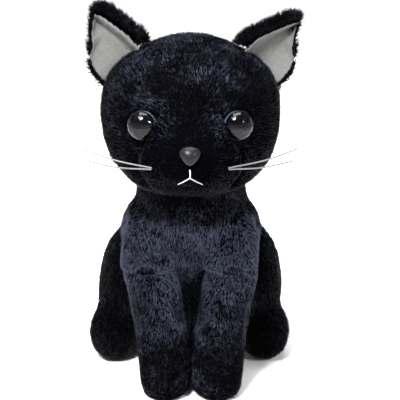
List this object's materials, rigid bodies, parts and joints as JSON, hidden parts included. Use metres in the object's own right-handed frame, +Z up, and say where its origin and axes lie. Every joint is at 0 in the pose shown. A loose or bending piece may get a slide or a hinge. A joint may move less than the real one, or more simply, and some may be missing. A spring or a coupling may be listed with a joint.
{
  "type": "plush cat",
  "caption": "Sitting plush cat in black short-pile plush, with grey-lined ears, domed plastic eyes, a plastic nose, a stitched mouth and nylon whiskers.",
  "frame": {"origin": "on the floor under the middle of the cat's box, so the part stands on z = 0", "axes": "+Z up, the cat faces -Y, +X is towards the cat's own left"},
  "size_m": [0.134, 0.1802, 0.2449],
  "materials": {
    "black_plush": "matte",
    "ear_fleece": "matte",
    "fibre_filling": "matte",
    "bag_cloth": "matte",
    "dark_thread": "matte",
    "white_thread": "satin",
    "eye_clear": "gloss",
    "eye_black": "gloss",
    "nose_plastic": "satin",
    "washer_plastic": "satin",
    "whisker_nylon": "satin"
  },
  "bodies": {
    "torso": {"seat_panel": "black_plush", "chest_panel": "black_plush", "back_panel_left": "black_plush", "back_panel_right": "black_plush", "pellet_bag": "bag_cloth", "torso_stuffing": "fibre_filling", "hind_leg_left_outer_panel": "black_plush", "hind_leg_left_inner_panel": "black_plush", "hind_leg_left_stuffing": "fibre_filling", "hind_leg_right_outer_panel": "black_plush", "hind_leg_right_inner_panel": "black_plush", "hind_leg_right_stuffing": "fibre_filling"},
    "foreleg_left": {"foreleg_left_outer_panel": "black_plush", "foreleg_left_inner_panel": "black_plush", "foreleg_left_stuffing": "fibre_filling"},
    "foreleg_right": {"foreleg_right_outer_panel": "black_plush", "foreleg_right_inner_panel": "black_plush", "foreleg_right_stuffing": "fibre_filling"},
    "tail": {"tail_upper_panel": "black_plush", "tail_lower_panel": "black_plush", "tail_stuffing": "fibre_filling"},
    "neck": {"neck_thread": "dark_thread"},
    "head": {"head_stuffing": "fibre_filling", "forehead_panel": "black_plush", "face_left_panel": "black_plush", "face_right_panel": "black_plush", "muzzle_panel": "black_plush", "chin_panel": "black_plush", "head_back_left_panel": "black_plush", "head_back_right_panel": "black_plush", "nose": "nose_plastic", "nose_washer": "washer_plastic", "mouth_stitch_centre": "white_thread", "mouth_stitch_left": "white_thread", "mouth_stitch_right": "white_thread", "eye_left_lens": "eye_clear", "eye_left_iris": "eye_black", "eye_left_washer": "washer_plastic", "eye_right_lens": "eye_clear", "eye_right_iris": "eye_black", "eye_right_washer": "washer_plastic", "whisker_left_upper": "whisker_nylon", "whisker_left_lower": "whisker_nylon", "whisker_right_upper": "whisker_nylon", "whisker_right_lower": "whisker_nylon"},
    "ear_left": {"ear_left_outer": "black_plush", "ear_left_lining": "ear_fleece"},
    "ear_right": {"ear_right_outer": "black_plush", "ear_right_lining": "ear_fleece"}
  },
  "joints": [
    {"name": "foreleg_left_swing", "type": "hinge", "parent": "torso", "child": "foreleg_left", "pos_m": [0.028, -0.024, 0.098], "axis": [-1, 0, 0], "range_deg": [0, 12], "stiffness_Nm_per_rad": 3},
    {"name": "foreleg_right_swing", "type": "hinge", "parent": "torso", "child": "foreleg_right", "pos_m": [-0.028, -0.024, 0.098], "axis": [-1, 0, 0], "range_deg": [0, 12], "stiffness_Nm_per_rad": 3},
    {"name": "tail_swing", "type": "hinge", "parent": "torso", "child": "tail", "pos_m": [0.004, 0.07, 0.0135], "axis": [0, 0, 1], "range_deg": [0, 30], "stiffness_Nm_per_rad": 0.05},
    {"name": "head_turn", "type": "hinge", "parent": "torso", "child": "neck", "pos_m": [0, -0.012, 0.121], "axis": [0, 0, 1], "range_deg": [-20, 20], "stiffness_Nm_per_rad": 1.5},
    {"name": "head_nod", "type": "hinge", "parent": "neck", "child": "head", "pos_m": [0, -0.012, 0.121], "axis": [1, 0, 0], "range_deg": [-5, 4], "stiffness_Nm_per_rad": 3},
    {"name": "ear_left_fold", "type": "hinge", "parent": "head", "child": "ear_left", "pos_m": [0.037, -0.014, 0.197], "axis": [0.66, 0, -0.7513], "range_deg": [-8, 8], "stiffness_Nm_per_rad": 0.03},
    {"name": "ear_right_fold", "type": "hinge", "parent": "head", "child": "ear_right", "pos_m": [-0.037, -0.014, 0.197], "axis": [0.66, 0, 0.7513], "range_deg": [-8, 8], "stiffness_Nm_per_rad": 0.03}
  ]
}
